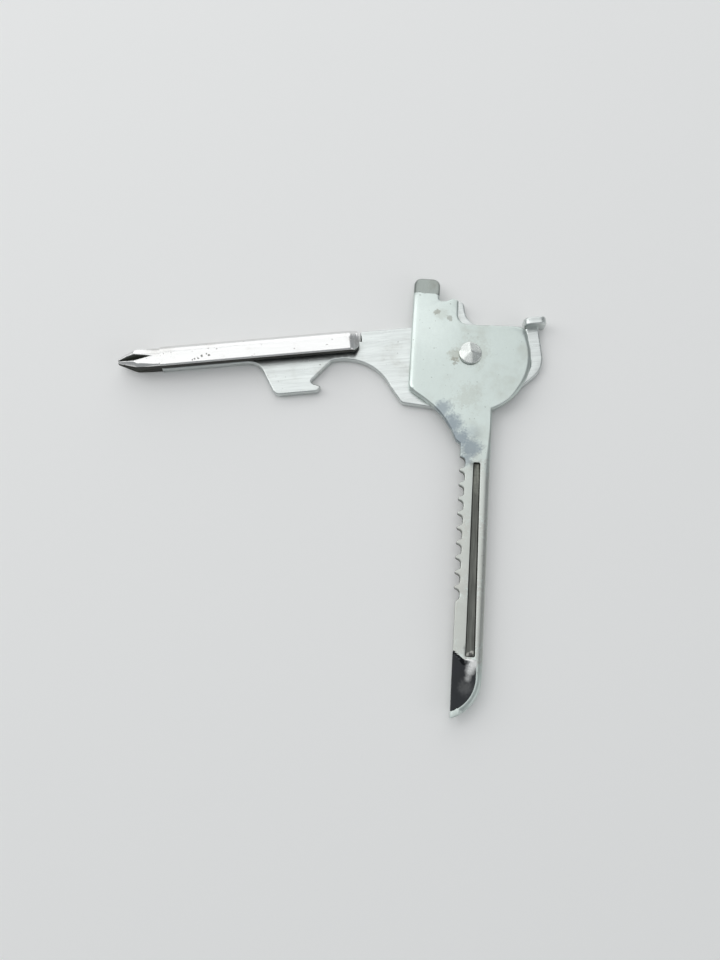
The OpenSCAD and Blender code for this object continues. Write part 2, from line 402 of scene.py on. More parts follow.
@dataclass
class Sheet:
    """A stamped sheet: an outline with holes, rounded along its front and rear edges."""

    outline: Outline
    rear: float
    front: float
    front_edge: EdgeRound
    rear_edge: EdgeRound
    holes: list[Outline] = field(default_factory=list)
    front_height: Callable[[Point], float] | None = None
    rear_height: Callable[[Point], float] | None = None
    front_points: list[Point] = field(default_factory=list)
    dents: list[tuple[Outline, float, float]] = field(default_factory=list)
    finish: Callable[[Vector], int] = lambda middle: 0

    EDGE_SHARES = (0.0, 0.06, 0.16, 0.3, 0.48, 0.72, 1.0)
    DENT_STEPS = ((0.0, 0.0), (0.2, 0.06), (0.5, 0.5), (0.8, 0.94), (1.0, 1.0))

    def _heights(self, point: Point) -> tuple[float, float]:
        """Work out the sheet's heights before its edges are rounded.

        Args:
            point: The point.

        Returns:
            The heights of the front and of the rear.
        """
        front = self.front_height(point) if self.front_height else self.front
        rear = self.rear_height(point) if self.rear_height else self.rear
        return front, rear

    def _edge(self, mesh: Mesh, outline: Outline) -> tuple[list[int], list[int]]:
        """Build the wall and both round edges along one outline.

        Args:
            mesh: Mesh to add to.
            outline: The outline.

        Returns:
            The innermost rings of the front and of the rear.
        """
        rings: list[list[int]] = []
        for front, edge in ((False, self.rear_edge), (True, self.front_edge)):
            shares = self.EDGE_SHARES if front else tuple(reversed(self.EDGE_SHARES))
            for share in shares:
                inner = outline.inset(lambda p, e=edge, s=share: e.width(p) * s)
                points = []
                for base, (x, y) in zip(outline.points, inner):
                    high, low = self._heights((x, y))
                    fall = edge.drop(base) * round_over(share)
                    points.append((x, y, high - fall if front else low + fall))
                rings.append(mesh.ring(points))
        for lower, upper in zip(rings, rings[1:]):
            start = len(mesh.faces)
            mesh.bridge(lower, upper)
            for n in range(start, len(mesh.faces)):
                middle = sum((mesh.verts[v] for v in mesh.faces[n]), Vector()) / 4.0
                mesh.finish[n] = self.finish(middle)
        return rings[-1], rings[0]

    def _dent(
        self, mesh: Mesh, outline: Outline, width: float, depth: float, floor_finish: int
    ) -> list[int]:
        """Press a blind dent into the front.

        Args:
            mesh: Mesh to add to.
            outline: The dent's rim.
            width: Width of its sloping wall.
            depth: Its depth.
            floor_finish: Finish of its floor.

        Returns:
            The rim's ring.
        """
        rings = []
        for across, down in self.DENT_STEPS:
            inner = outline.inset(lambda p, a=across: width * a)
            places = [(x, y, self._heights((x, y))[0] - depth * down) for x, y in inner]
            rings.append(mesh.ring(places))
        for k, (outer, inner) in enumerate(zip(rings, rings[1:])):
            mesh.bridge(outer, inner, floor_finish if k > 0 else 0)
        floor = rings[-1]
        mesh.skin(floor, [], [], lambda p: 0.0, True, lambda middle: floor_finish)
        return rings[0]

    def mesh(self, floor_finish: int = 0) -> Mesh:
        """Build the sheet as a closed mesh.

        Args:
            floor_finish: Finish of the floors of its dents.

        Returns:
            The mesh.
        """
        mesh = Mesh()
        front, rear = self._edge(mesh, self.outline)
        front_holes: list[list[int]] = []
        rear_holes: list[list[int]] = []
        for hole in self.holes:
            top, bottom = self._edge(mesh, Outline(hole.points[::-1]))
            front_holes.append(top)
            rear_holes.append(bottom)
        for outline, width, depth in self.dents:
            front_holes.append(self._dent(mesh, outline, width, depth, floor_finish))
        mesh.skin(
            front, front_holes, self.front_points, lambda p: self._heights(p)[0], True, self.finish
        )
        mesh.skin(rear, rear_holes, [], lambda p: self._heights(p)[1], False, self.finish)
        return mesh.weld()


class KeyFinish(Enum):
    """Finishes of the key leaf's faces, in the order of its materials."""

    SATIN = 0
    # polished ground tip, its dark colour a painted reflection
    POLISHED = 1
    # groove floor and gullet walls, painted dark as shade in these recesses
    RECESS_SHADE = 2
    TAB_GROUND = 3


class DriverFinish(Enum):
    """Finishes of the driver leaf's faces, in the order of its materials."""

    BRUSHED = 0
    # the fold's steel: smoother as rolled, and paler than the plate to paint the light it catches
    ROLLED = 1
    # ground steel, darkened to paint the shade in the flutes
    FLUTE_SHADE = 2
    # dark colour painted where shade falls: under the flange, inside the bend, at the fold's end, on one side
    # of the tip
    PAINTED_SHADE = 3


class RivetFinish(Enum):
    """Finishes of the rivet's faces, in the order of its materials."""

    BRIGHT = 0
    # painted shade at the rivet's foot
    PAINTED_SHADE = 1


@dataclass
class KeyLeaf:
    """The front leaf: head, flat driver, shank and blade, with the blade along -Y."""

    low: Vector
    high: Vector
    blade_back: float = 3.65
    blade_width: float = 4.45
    tab_width: float = 3.95
    tab_slope_length: float = 2.7
    tab_slope_depth: float = 0.55
    head_top: float = 4.7
    top_rise: float = 0.35
    gullets: int = 10
    gullet_pitch: float = 2.16
    gullet_start: float = 17.0
    gullet_depth: float = 0.8
    gullet_mouth: float = 0.88
    gullet_floor: float = 0.6
    gullet_round: float = 0.6
    tooth_round: float = 0.26
    plain_step: float = 0.25
    tip_radius: float = 6.0
    groove_start: float = 16.8
    groove_near_width: float = 1.15
    groove_far_width: float = 1.5
    groove_depth: float = 0.45
    groove_left: float = 1.12
    groove_round: float = 0.32
    groove_wall: float = 0.26
    grind_length: float = 8.2
    grind_depth: float = 0.62
    bevel_width: float = 0.85
    bevel_drop: float = 0.5
    tab_round: float = 1.15
    edge: float = 0.32
    left_wear: float = 0.75
    right_wear: float = 0.3
    tooth_edge: float = 0.16
    point_edge: float = 0.1
    hole_radius: float = 1.24
    rear_grind_width: float = 1.1
    rear_grind_depth: float = 0.4

    def __post_init__(self) -> None:
        """Work out the sizes that follow from others."""
        self.left = self.low.x
        self.head_radius = self.high.x
        self.tab_top = self.high.y
        self.tip_y = self.low.y
        self.teeth_x = self.blade_back - self.blade_width
        self.plain_x = self.teeth_x + self.plain_step
        self.tab_right = self.left + self.tab_width
        self.tip_middle_x = self.blade_back - self.tip_radius
        rise = math.sqrt(self.tip_radius**2 - (self.plain_x - self.tip_middle_x) ** 2)
        self.tip_middle_y = self.tip_y + rise
        self.grind_y = self.tip_y + self.grind_length

    def outline(self) -> Outline:
        """Outline of the whole leaf.

        Returns:
            The outline.
        """
        head_turn = 18.0
        turn = math.radians(head_turn)
        top_right = self.head_top + self.top_rise
        corner_x = (self.head_radius - top_right * math.sin(turn)) / math.cos(turn)
        bump_y = self.head_radius - 0.3
        step_y = -self.gullet_start + 2.9
        corners: list[Corner] = [
            (self.left, self.tab_top, self.tab_round),
            (self.left, -5.9, 1.2),
            (-3.15, -9.75, 13.0),
            (self.teeth_x - 0.7, step_y + 0.5, 0.3),
            (self.teeth_x, step_y, 0.3),
        ]
        floor_x = self.teeth_x + self.gullet_depth
        for k in range(self.gullets):
            y = -self.gullet_start - k * self.gullet_pitch
            last = k == self.gullets - 1
            corners += [
                (self.teeth_x, y + self.gullet_mouth, self.tooth_round),
                (floor_x, y + self.gullet_floor, self.gullet_round),
                (floor_x, y - self.gullet_floor, self.gullet_round),
                (self.plain_x if last else self.teeth_x, y - self.gullet_mouth, self.tooth_round),
            ]
        tip_turn = math.degrees(math.acos((self.plain_x - self.tip_middle_x) / self.tip_radius))
        corners += arc((self.tip_middle_x, self.tip_middle_y), self.tip_radius, -tip_turn, 0.0, 30)
        low_turn = -math.degrees(math.acos(self.blade_back / self.head_radius))
        corners += [(self.blade_back, -9.2, 0.0)]
        corners += arc((0.0, 0.0), self.head_radius, low_turn, head_turn, 36)
        corners += [
            (corner_x, top_right, 1.2),
            (-2.1, self.head_top, 1.6),
            (-2.1, bump_y - 0.25, 0.45),
            (-3.1, bump_y, 0.6),
            (-3.95, bump_y - 0.5, 0.9),
            (self.tab_right, bump_y - 0.6, 0.4),
            (self.tab_right, self.tab_top, self.tab_round),
        ]
        return Outline.from_corners(corners, 8.0).split(0.5)

    def _ridge_x(self, y: float) -> float:
        """Where the blade's flat ends and the bevel along its back begins.

        Args:
            y: Place along the blade.

        Returns:
            X at that Y.
        """
        radius = self.tip_radius - self.bevel_width
        below = min(0.0, y - self.tip_middle_y)
        return self.tip_middle_x + math.sqrt(max(0.0, radius**2 - below**2))

    def _plunge_y(self, x: float) -> float:
        """Where the ground tip begins: a slant from the edge, then straight across."""
        return self.grind_y + 1.0 - 0.84 * max(0.0, min(1.2, x + 0.3))

    def front_height(self, point: Point) -> float:
        """Height of the front, with the slope on the tab and the grind at the tip.

        Args:
            point: The point.

        Returns:
            The height.
        """
        x, y = point
        height = self.high.z
        if y > 9.0 and x < self.tab_right + 0.2:
            run = y - (self.tab_top - self.tab_slope_length)
            height -= max(0.0, run) * self.tab_slope_depth / self.tab_slope_length
        if y < self.grind_y + 1.5 and x < self.blade_back:
            ridge = self._ridge_x(y)
            across = max(0.0, ridge - x) / (self.blade_back - self.bevel_width - self.plain_x)
            run = 0.36 + 0.7 * smooth_step(0.6, 1.3, x)
            depth = smooth_step(0.0, run, self._plunge_y(x) - y) * min(1.0, across) ** 1.25
            height -= self.grind_depth * depth
        return height

    def rear_height(self, point: Point) -> float:
        """Height of the rear, with the slope ground along the cutting edge.

        Args:
            point: The point.

        Returns:
            The height.
        """
        x, y = point
        near = smooth_step(-self.gullet_start + 1.6, -self.gullet_start + 0.6, y)
        across = max(0.0, self.teeth_x + self.rear_grind_width - x) / self.rear_grind_width
        return self.low.z + self.rear_grind_depth * near * min(1.0, across)

    def front_width(self, point: Point) -> float:
        """Width of the front's round edge.

        Args:
            point: The point.

        Returns:
            The width.
        """
        x, y = point
        if y < -14.5 and x < 1.0:
            return self.tooth_edge if y > -38.0 else self.point_edge
        left_side = smooth_step(-7.8, -8.7, x)
        along_left = left_side * smooth_step(12.0, 10.8, y) * smooth_step(-7.0, -5.5, y)
        along_right = smooth_step(6.0, 8.0, x) * smooth_step(-9.0, -6.0, y)
        width = self.edge + self.left_wear * along_left + self.right_wear * along_right
        if y < -9.5 and x < 0.5:
            width = self.edge - (self.edge - self.tooth_edge) * smooth_step(-9.5, -13.5, y)
        if x > 2.0 and y < -10.0:
            width += (self.bevel_width - self.edge) * smooth_step(-11.0, -18.0, y)
        if y < self.tip_middle_y:
            width = min(self.bevel_width, 0.06 + 0.62 * max(0.0, x - self.plain_x))
        return width

    def front_drop(self, point: Point) -> float:
        """Depth of the front's round edge.

        Args:
            point: The point.

        Returns:
            The depth.
        """
        x, y = point
        width = self.front_width(point)
        if x > 2.0 and y < -10.0 or y < self.tip_middle_y:
            return min(self.bevel_drop, 0.25 + 0.4 * max(0.0, width - self.edge), width)
        return min(width * 0.85, 0.45)

    def _groove(self) -> tuple[Outline, float, float]:
        """The groove stamped along the blade.

        Returns:
            Its rim, the width of its wall and its depth.
        """
        far_y = self.grind_y + 0.25
        left = self.groove_left
        rim = Outline.from_corners(
            [
                (left, -self.groove_start, self.groove_round),
                (left, far_y, self.groove_round),
                (left + self.groove_far_width, far_y, self.groove_round),
                (left + self.groove_near_width, -self.groove_start, self.groove_round),
            ],
            20.0,
        )
        return rim.split(1.0), self.groove_wall, self.groove_depth

    def _by(self, rim: Outline, point: Point) -> bool:
        """Tell whether a point is very near a rim."""
        return min(math.dist(point, corner) for corner in rim.points) < 0.12

    def _finish(self, middle: Vector) -> int:
        """Finish of a face: the ground tip is polished and painted dark as a reflection, and the gullets are
        painted dark as shade.

        Args:
            middle: The face's middle.

        Returns:
            Number of its finish.
        """
        on_front = middle.z > (self.low.z + self.high.z) / 2.0 - 0.2
        ground = middle.y < self._plunge_y(middle.x) and middle.x < self._ridge_x(middle.y) + 0.02
        teeth_end = -self.gullet_start - self.gullets * self.gullet_pitch + 1.0
        in_teeth = -self.gullet_start + 1.0 > middle.y > teeth_end
        # low faces in the gullets are painted dark as shade
        if in_teeth and middle.x < self.teeth_x + 1.1 and middle.z < self.high.z - 0.16:
            return KeyFinish.RECESS_SHADE.value
        if on_front and ground:
            return KeyFinish.POLISHED.value
        sloped = middle.y > self.tab_top - self.tab_slope_length and middle.x < self.tab_right
        return (KeyFinish.TAB_GROUND if on_front and sloped else KeyFinish.SATIN).value

    def _front_points(self, outline: Outline) -> list[Point]:
        """List the extra points that shape the ground tip and the tab's slope.

        Args:
            outline: Outline of the leaf.

        Returns:
            The points, inside the front and outside the groove.
        """
        pitch = 0.3
        columns = [self.plain_x + 0.25 + pitch * k for k in range(15)]
        rows = [self.tip_y + 0.5 + pitch * k for k in range(33)]
        points: list[Point] = []
        for x in columns:
            for y in rows:
                in_slant = -0.55 < y - self._plunge_y(x) < 0.2
                if x < self._ridge_x(y) - 0.1 and not in_slant and y < self.grind_y + 1.4:
                    points.append((x, y))
        points += [(x, self._plunge_y(x) + dy) for x in columns for dy in (0.03, -0.12, -0.24, -0.36)]
        points += [(self._ridge_x(y) + dx, y) for y in rows for dx in (-0.02, 0.02) if y < self.grind_y]
        groove = self._groove()[0]
        points = [
            p for p in points if outline.holds(p, 0.24) and not groove.holds(p) and not self._by(groove, p)
        ]
        slope_y = self.tab_top - self.tab_slope_length
        for k in range(10):
            for dy in (-0.12, 0.0, 0.12, 0.7, 1.3):
                spot = (self.left + 0.9 + pitch * k, slope_y + dy)
                if outline.holds(spot, self.front_width(spot) + 0.06):
                    points.append(spot)
        return points

    def build(self, finishes: Sequence[bpy.types.Material]) -> bpy.types.Object:
        """Build the leaf.

        Args:
            finishes: Its materials.

        Returns:
            The leaf.
        """
        outline = self.outline()
        sheet = Sheet(
            outline=outline,
            rear=self.low.z,
            front=self.high.z,
            front_edge=EdgeRound(self.front_width, self.front_drop),
            rear_edge=EdgeRound(lambda p: 0.12, lambda p: 0.1),
            holes=[Outline(circle(self.hole_radius))],
            front_height=self.front_height,
            rear_height=self.rear_height,
            front_points=self._front_points(outline),
            dents=[self._groove()],
            finish=self._finish,
        )
        return sheet.mesh(KeyFinish.RECESS_SHADE.value).build("key_leaf_stamping", finishes)


@dataclass
class DriverLeaf:
    """The rear leaf: head with hook, opener, folded channel and cross-head tip.

    It is drawn shut, with the channel along -Y.
    """

    thickness: float
    height: float
    shut_angle: float
    tip_y: float
    head_radius: float
    fold_x: float = -5.6
    channel_width: float = 3.53
    channel_start: float = 16.5
    flange_cut: float = 0.8
    relief: float = 0.35
    tip_length: float = 6.45
    tip_width: float = 3.2
    point_radius: float = 0.45
    cone_angle: float = 26.5
    flute_length: float = 5.35
    web: float = 0.7
    flute_slope: float = 0.9
    hook_out: float = 1.9
    hook_width: float = 2.0
    bent_left: float = -4.95
    bent_width: float = 3.4
    bent_height: float = 2.9
    eye_low: float = 4.65
    eye_end: float = 1.5
    cap_radius: float = 7.6
    cap_middle: Point = (6.2, -19.6)
    opener_x: float = 3.35
    opener_length: float = 7.1
    claw_y: float = -22.75
    claw_width: float = 0.6
    throat_depth: float = 2.05
    hole_radius: float = 1.24
    edge: float = 0.28

    def __post_init__(self) -> None:
        """Work out the sizes that follow from others."""
        self.fold_radius = self.height / 2.0
        self.bend_x = self.fold_x + self.fold_radius
        self.mouth_x = self.fold_x + self.channel_width
        self.channel_end = self.tip_y + self.tip_length
        self.bent_right = self.bent_left + self.thickness
        self.bend = self.thickness - 0.1
        self.seam_x = self.bent_left + self.bend
        self.hook_top = self.head_radius + self.hook_out
        self.axis_x = (self.fold_x + self.mouth_x) / 2.0

    def outline(self) -> Outline:
        """Outline of the flat sheet: channel's rear wall, neck, horn, hook, head and opener.

        Returns:
            The outline.
        """
        eye_high = self.hook_top - self.hook_width
        eye_radius = (eye_high - self.eye_low) / 2.0
        neck_turn = 180.0 + math.degrees(math.acos(-(self.fold_x - 0.4) / self.head_radius))
        slope = math.tan(math.radians(55.4))
        wall_x = self.mouth_x - 0.12
        relief_y = self.relief - self.channel_start
        opener_end = self.claw_y - self.opener_length
        corners: list[Corner] = [
            (self.bend_x, self.channel_end, 0.0),
            (self.bend_x, relief_y, 0.0),
            (self.fold_x, relief_y, 0.36),
            (self.fold_x, -8.4, 1.5),
        ]
        corners += arc((0.0, 0.0), self.head_radius, neck_turn, 186.0, 14)
        corners += [
            (-self.head_radius, 0.2, 0.8),
            (self.bent_left, 0.35, 2.4),
            (self.bent_left, self.eye_low, 0.6),
        ]
        corners += arc((self.eye_end, self.eye_low + eye_radius), eye_radius, -90.0, 90.0, 20)
        corners += [
            (self.seam_x, eye_high, 0.0),
            (self.seam_x, self.hook_top, 0.0),
            (2.9, self.hook_top, 4.0),
            (2.9 + (self.hook_top - 2.6) / slope, 2.6, 3.0),
        ]
        corners += arc((0.0, 0.0), self.head_radius, 5.0, -24.0, 12)
        corners += [(self.head_radius - 1.75, -6.6, 1.5), (self.head_radius - 2.85, -11.0, 0.9)]
        corners += arc(self.cap_middle, self.cap_radius, 110.0, 190.0, 32)
        corners += [
            (1.85, self.claw_y - self.throat_depth + 0.2, 0.45),
            (self.opener_x - self.claw_width - 0.1, self.claw_y + 0.1, 0.3),
            (self.opener_x, self.claw_y - 0.75, 0.5),
            (self.opener_x, opener_end, 1.1),
            (wall_x, opener_end - 2.1, 2.6),
            (wall_x, self.channel_end, 0.0),
        ]
        return Outline.from_corners(corners, 8.0).split(0.6)

    def _on_seam(self, point: Point) -> bool:
        """Tell whether an edge point is a seam inside the sheet, and not a real edge.

        Args:
            point: The point.

        Returns:
            True when it is.
        """
        x, y = point
        at_fold = abs(x - self.bend_x) < 0.01 and y < self.relief - self.channel_start
        at_hook = abs(x - self.seam_x) < 0.01 and y > self.hook_top - self.hook_width - 0.01
        return at_fold or at_hook or y < self.channel_end + 0.01

    def edge_width(self, point: Point) -> float:
        """Width of the front's round edge."""
        return 0.0 if self._on_seam(point) else self.edge

    def _plate(self) -> Mesh:
        """The flat part of the sheet.

        Returns:
            Its mesh.
        """
        sheet = Sheet(
            outline=self.outline(),
            rear=0.0,
            front=self.thickness,
            front_edge=EdgeRound(self.edge_width, lambda p: self.edge_width(p) * 0.8),
            rear_edge=EdgeRound(
                lambda p: 0.5 * self.edge_width(p), lambda p: 0.4 * self.edge_width(p)
            ),
            holes=[Outline(circle(self.hole_radius))],
        )
        return sheet.mesh()

    def _fold_profile(self) -> Outline:
        """Section of the fold and its flange, as x and height.

        Returns:
            The section.
        """
        inner = self.fold_radius - self.thickness
        middle = (self.bend_x, self.fold_radius)
        top = self.height
        under = self.height - self.thickness
        corners = [(self.bend_x + 0.02, 0.0, 0.0)]
        corners += arc(middle, self.fold_radius, -90.0, -270.0, 32)
        corners += [(self.mouth_x, top, 0.4), (self.mouth_x, under, 0.15)]
        corners += arc(middle, inner, 90.0, 270.0, 16)
        corners += [(self.bend_x + 0.02, self.thickness, 0.0)]
        return Outline.from_corners(corners, 15.0)

    def _shape_fold_end(self, vertex: Vector) -> Vector:
        """Slope the near end of the fold down, and cut its free corner.

        Args:
            vertex: A vertex of the straight fold.

        Returns:
            Its new place.
        """
        x, y, z = vertex
        ramp = smooth_step(-self.channel_start - 1.5, -self.channel_start - 0.1, y)
        if z > self.thickness:
            z -= 0.85 * ramp * (z - self.thickness) / (self.height - self.thickness)
        reach = self.mouth_x - max(0.0, y + self.channel_start + self.flange_cut)
        if x > self.bend_x + 0.1 and reach < self.mouth_x:
            x = self.bend_x + (x - self.bend_x) * (reach - self.bend_x) / (self.mouth_x - self.bend_x)
        return Vector((x, y, z))

    def _fold(self) -> Mesh:
        """The full-round fold and the flange that lies over the rear wall.

        Returns:
            Its mesh.
        """
        mesh = Mesh()
        profile = self._fold_profile()
        near = -self.channel_start
        stations = [(near, 0.22), (near - 0.04, 0.12), (near - 0.13, 0.03), (near - 0.25, 0.0)]
        stations += [(near - 0.25 - 0.15 * k, 0.0) for k in range(1, 14)]
        straight = [near - 2.5 - 1.1 * k for k in range(26)]
        stations += [(y, 0.0) for y in straight if y > self.channel_end]
        stations += [(self.channel_end, 0.0)]
        rings = []
        for y, shrink in stations:
            points = profile.inset(lambda p, s=shrink: s) if shrink else profile.points
            rings.append(mesh.ring([(x, y, z) for x, z in points]))
        for near_ring, far_ring in zip(rings, rings[1:]):
            mesh.bridge(near_ring, far_ring)
        mesh.finish = [self._fold_finish([mesh.verts[v] for v in face]) for face in mesh.faces]
        # the fold's near end is painted dark as shade
        mesh.cap(rings[0], DriverFinish.PAINTED_SHADE.value, flip=True)
        mesh.cap(rings[-1], DriverFinish.ROLLED.value)
        return mesh.move(self._shape_fold_end)

    def _fold_finish(self, corners: Sequence[Vector]) -> int:
        """Finish of one of the fold's faces: painted shade lies under the flange, on its free edge and inside
        the bend.

        Args:
            corners: The face's corners.

        Returns:
            Number of its finish.
        """
        middle = sum(corners, Vector()) / len(corners)
        spoke = Vector((middle.x - self.bend_x, middle.z - self.fold_radius))
        inside = spoke.x > 0.0 and middle.z < self.height - 0.2 and middle.z > self.thickness - 0.1
        at_bend = spoke.x <= 0.0 and spoke.length < self.fold_radius - 0.6
        return (DriverFinish.PAINTED_SHADE if inside or at_bend else DriverFinish.ROLLED).value

    def _tip_radius(self, turn: float, along: float) -> tuple[float, bool]:
        """Radius of the cross-head tip's section.

        Args:
            turn: Angle round the tip's axis, from +X towards the front.
            along: Distance from the tip's near end.

        Returns:
            The radius, with edges slightly rounded, and whether a flute sets it.
        """
        half = self.tip_width / 2.0
        cos_turn, sin_turn = abs(math.cos(turn)), abs(math.sin(turn))
        square = half / max(cos_turn, sin_turn)
        if math.cos(turn) < 0.0:
            square += (half - square) * (1.0 - 0.3 * smooth_step(0.2, 3.6, along))
        left = self.tip_length - along
        chamfer = 0.2 + 0.32 * smooth_step(0.4, 3.2, along)
        limits = [square, (2.0 * half - chamfer) / (cos_turn + sin_turn)]
        limits.append(self.point_radius + left * math.tan(math.radians(self.cone_angle)))
        outside = min(limits)
        bottom = self.web / 2.0 + (half - self.web / 2.0) * left / self.flute_length
        for rise, side in ((sin_turn, cos_turn), (cos_turn, sin_turn)):
            lean = rise - side / self.flute_slope
            if lean > 1e-3:
                limits.append(bottom / lean)
        sharpness = 22.0
        least = min(limits)
        total = sum(math.exp(-sharpness * (limit - least)) for limit in limits)
        return least - math.log(total) / sharpness, least < outside - 0.02

    def _tip(self) -> Mesh:
        """The solid cross-head tip, with four flutes that deepen to its point.

        Returns:
            Its mesh.
        """
        mesh = Mesh()
        sides = 144
        steps = 60
        rings = []
        fluted: list[bool] = []
        for k in range(steps + 1):
            along = self.tip_length * k / steps
            ring = []
            for n in range(sides):
                turn = 2.0 * math.pi * n / sides
                radius, in_flute = self._tip_radius(turn, along)
                fluted.append(in_flute)
                ring.append(
                    (
                        self.axis_x + radius * math.cos(turn),
                        self.channel_end - along,
                        self.height / 2.0 + radius * math.sin(turn),
                    )
                )
            rings.append(mesh.ring(ring))
        for near_ring, far_ring in zip(rings, rings[1:]):
            mesh.bridge(near_ring, far_ring)
        lower = [Vector((v.x - self.axis_x, v.z - self.height / 2.0)) for v in mesh.verts]
        beyond = [spoke.x > 1.25 * abs(spoke.y) for spoke in lower]
        mesh.finish = []
        for face in mesh.faces:
            # faces on the tip's +X side are painted dark as shade
            in_flute = sum(fluted[v] for v in face) > 2
            beside = sum(beyond[v] for v in face) > 2
            finish = DriverFinish.FLUTE_SHADE if in_flute else DriverFinish.PAINTED_SHADE if beside else DriverFinish.ROLLED
            mesh.finish.append(finish.value)
        mesh.cap(rings[0], flip=True)
        mesh.cap(rings[-1], DriverFinish.FLUTE_SHADE.value)
        return mesh

    def _bent_tab(self) -> Mesh:
        """The tab turned up at the hook's end, round outside its bend.

        Returns:
            Its mesh.
        """
        low_y = self.head_radius - 0.4
        face = Outline.from_corners(
            [
                (low_y, 0.0, 0.4),
                (low_y + self.bent_width, 0.0, 0.4),
                (low_y + self.bent_width, self.bent_height, 0.95),
                (low_y, self.bent_height, 0.95),
            ],
            10.0,
        ).split(0.3)
        edge = EdgeRound(lambda p: 0.24, lambda p: 0.24)
        pitch = 0.3
        across = range(int(self.bent_width / pitch) - 1)
        rows = [(low_y + 0.35 + pitch * n, 0.3 + 0.1 * k) for k in range(9) for n in across]
        sheet = Sheet(
            outline=face,
            rear=0.0,
            front=self.thickness,
            front_edge=edge,
            rear_edge=edge,
            front_points=rows,
        )
        middle = Vector((self.seam_x, self.bend))

        def stand(vertex: Vector) -> Vector:
            """Stand the sheet up and round the outside of its bend.

            Args:
                vertex: A vertex of the flat tab.

            Returns:
                Its new place.
            """
            place = Vector((self.bent_right - vertex.z, vertex.x, vertex.y))
            spoke = Vector((place.x, place.z)) - middle
            if spoke.x < 0.0 and spoke.y < 0.0 and spoke.length > self.bend:
                spoke *= self.bend / spoke.length
                place.x, place.z = middle.x + spoke.x, middle.y + spoke.y
            return place

        mesh = sheet.mesh()
        mesh.move(stand)
        mesh.faces = [tuple(reversed(f)) for f in mesh.faces]
        return mesh

    def build(self, finishes: Sequence[bpy.types.Material]) -> bpy.types.Object:
        """Build the leaf in its stored pose.

        Args:
            finishes: Its materials.

        Returns:
            The leaf.
        """
        mesh = self._plate()
        mesh.add(self._fold())
        mesh.add(self._tip())
        mesh.add(self._bent_tab())
        turn = Matrix.Rotation(math.radians(-self.shut_angle), 3, "Z")
        mesh.move(lambda v: turn @ v)
        return mesh.build("driver_leaf_stamping", finishes)


@dataclass
class Rivet:
    """The rivet: a flush tail, a shank, and a head peened to a low uneven cone."""

    under_head: float
    top: float
    tail_radius: float = 1.9
    tail_depth: float = 0.7
    shank_radius: float = 1.2
    head_radius: float = 1.7
    rim_height: float = 0.34
    edge: float = 0.12
    facets: tuple[tuple[float, float, float], ...] = (
        (204.0, 14.0, 0.0),
        (150.0, 13.0, 0.02),
        (38.0, 21.0, 0.01),
        (350.0, 16.0, 0.05),
        (312.0, 19.0, 0.02),
        (272.0, 16.0, 0.07),
    )

    def _crown(self, x: float, y: float) -> float:
        """Height of the peened crown: the lowest of its facets, smoothly joined.

        Args:
            x: Place across the head.
            y: Place along the head.

        Returns:
            The height.
        """
        levels = []
        for turn, tilt, set_back in self.facets:
            a, slope = math.radians(turn), math.tan(math.radians(tilt))
            levels.append(self.top + 0.03 - set_back - slope * (x * math.cos(a) + y * math.sin(a)))
        sharpness = 60.0
        least = min(levels)
        total = sum(math.exp(-sharpness * (level - least)) for level in levels)
        return least - math.log(total) / sharpness

    def _top(self, x: float, y: float) -> float:
        """Height of the head's top: the crown, and nowhere below the rim."""
        return max(self.under_head + self.rim_height, self._crown(x, y))

    def build(self, finishes: Sequence[bpy.types.Material]) -> bpy.types.Object:
        """Build the rivet.

        Args:
            finishes: Its materials.

        Returns:
            The rivet.
        """
        mesh = Mesh()
        sides = 96
        shoulder = self.head_radius - self.edge
        profile = [
            (self.tail_radius, 0.0),
            (self.shank_radius, self.tail_depth),
            (self.shank_radius, self.under_head),
            (self.head_radius - 0.06, self.under_head),
            (self.head_radius, self.under_head + 0.08),
        ]
        rings = [mesh.ring([(x, y, z) for x, y in circle(radius, sides)]) for radius, z in profile]
        foot = len(rings) - 2
        for share in (1.0, 0.75, 0.5, 0.25, 0.0):
            radius = self.head_radius - self.edge * round_over(share)
            inward = shoulder / radius
            drop = self.edge * share
            spots = circle(radius, sides)
            rings.append(mesh.ring([(x, y, self._top(x * inward, y * inward) - drop) for x, y in spots]))
        for k in range(16):
            radius = shoulder - 0.02 - 0.1 * k
            if radius > 0.02:
                rings.append(mesh.ring([(x, y, self._top(x, y)) for x, y in circle(radius, sides)]))
        # the head's lowest band is painted dark as the shade at the rivet's foot
        for n, (lower, upper) in enumerate(zip(rings, rings[1:])):
            finish = RivetFinish.PAINTED_SHADE if n == foot else RivetFinish.BRIGHT
            mesh.bridge(lower, upper, finish.value)
        mesh.cap(rings[0], flip=True)
        mesh.cap(rings[-1])
        return mesh.build("rivet_peened", finishes)


class Wire:
    """One shader value, which can be used in a Python expression."""

    def __init__(self, tree: bpy.types.NodeTree, socket: bpy.types.NodeSocket) -> None:
        """Keep the tree and the socket."""
        self.tree = tree
        self.socket = socket

    def _math(self, operation: str, first: "Wire | float", second: "Wire | float") -> "Wire":
        """Add one Math node.

        Args:
            operation: What it does.
            first: Its first value.
            second: Its second value.

        Returns:
            Its result.
        """
        node = self.tree.nodes.new("ShaderNodeMath")
        node.operation = operation
        for socket, value in zip(node.inputs, (first, second)):
            if isinstance(value, Wire):
                self.tree.links.new(value.socket, socket)
            else:
                socket.default_value = value
        return Wire(self.tree, node.outputs[0])

    def __add__(self, other: "Wire | float") -> "Wire":
        """Sum."""
        return self._math("ADD", self, other)

    __radd__ = __add__

    def __sub__(self, other: "Wire | float") -> "Wire":
        """Difference."""
        return self._math("SUBTRACT", self, other)

    def __rsub__(self, other: float) -> "Wire":
        """Difference from a number."""
        return self._math("SUBTRACT", other, self)

    def __mul__(self, other: "Wire | float") -> "Wire":
        """Product."""
        return self._math("MULTIPLY", self, other)

    __rmul__ = __mul__


